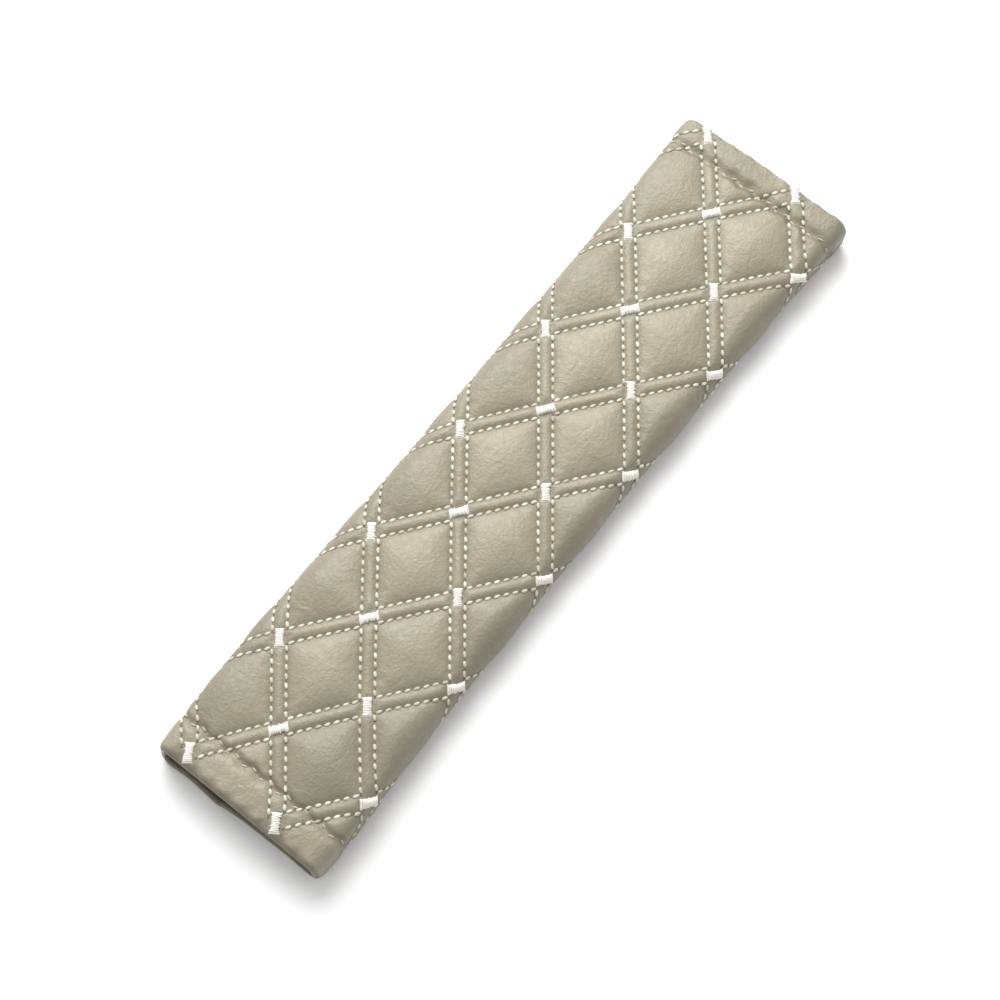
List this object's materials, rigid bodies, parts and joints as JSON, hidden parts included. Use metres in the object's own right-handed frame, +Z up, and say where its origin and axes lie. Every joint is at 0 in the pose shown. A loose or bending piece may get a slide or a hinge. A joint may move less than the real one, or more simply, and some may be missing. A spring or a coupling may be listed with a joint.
{
  "type": "seat belt shoulder pad",
  "caption": "Quilted padded leather-look sleeve that closes round a seat belt and cushions the shoulder.",
  "frame": {"origin": "middle of the underside, on the ground that the pad lies on", "axes": "+X along the belt, +Y across it, +Z up through the quilted face that shows"},
  "size_m": [0.27, 0.0645, 0.0159],
  "materials": {
    "leather": "soft satin grain",
    "tack_thread": "close satin stitches",
    "closure_tape": "matt hook and loop pile"
  },
  "bodies": {
    "root": {"quilted_panel": "leather", "loop_tape": "closure_tape", "hook_tape": "closure_tape", "tack_bar_1_1": "tack_thread", "tack_bar_1_2": "tack_thread", "tack_bar_1_3": "tack_thread", "tack_bar_1_4": "tack_thread", "tack_bar_1_5": "tack_thread", "tack_bar_1_6": "tack_thread", "tack_bar_2_1": "tack_thread", "tack_bar_2_2": "tack_thread", "tack_bar_2_3": "tack_thread", "tack_bar_2_4": "tack_thread", "tack_bar_2_5": "tack_thread", "tack_bar_2_6": "tack_thread", "tack_bar_2_7": "tack_thread", "tack_bar_3_1": "tack_thread", "tack_bar_3_2": "tack_thread", "tack_bar_3_3": "tack_thread", "tack_bar_3_4": "tack_thread", "tack_bar_3_5": "tack_thread", "tack_bar_3_6": "tack_thread", "tack_bar_4_1": "tack_thread", "tack_bar_4_2": "tack_thread", "tack_bar_4_3": "tack_thread", "tack_bar_4_4": "tack_thread", "tack_bar_4_5": "tack_thread", "tack_bar_4_6": "tack_thread", "tack_bar_4_7": "tack_thread", "tack_bar_5_1": "tack_thread", "tack_bar_5_2": "tack_thread", "tack_bar_5_3": "tack_thread", "tack_bar_5_4": "tack_thread", "tack_bar_5_5": "tack_thread", "tack_bar_5_6": "tack_thread", "tack_bar_6_1": "tack_thread", "tack_bar_6_2": "tack_thread", "tack_bar_6_3": "tack_thread", "tack_bar_6_4": "tack_thread", "tack_bar_6_5": "tack_thread", "tack_bar_6_6": "tack_thread", "tack_bar_6_7": "tack_thread", "tack_bar_7_1": "tack_thread", "tack_bar_7_2": "tack_thread", "tack_bar_7_3": "tack_thread", "tack_bar_7_4": "tack_thread", "tack_bar_7_5": "tack_thread", "tack_bar_7_6": "tack_thread", "tack_bar_8_1": "tack_thread", "tack_bar_8_2": "tack_thread", "tack_bar_8_3": "tack_thread", "tack_bar_8_4": "tack_thread", "tack_bar_8_5": "tack_thread", "tack_bar_8_6": "tack_thread", "tack_bar_8_7": "tack_thread"}
  },
  "joints": []
}
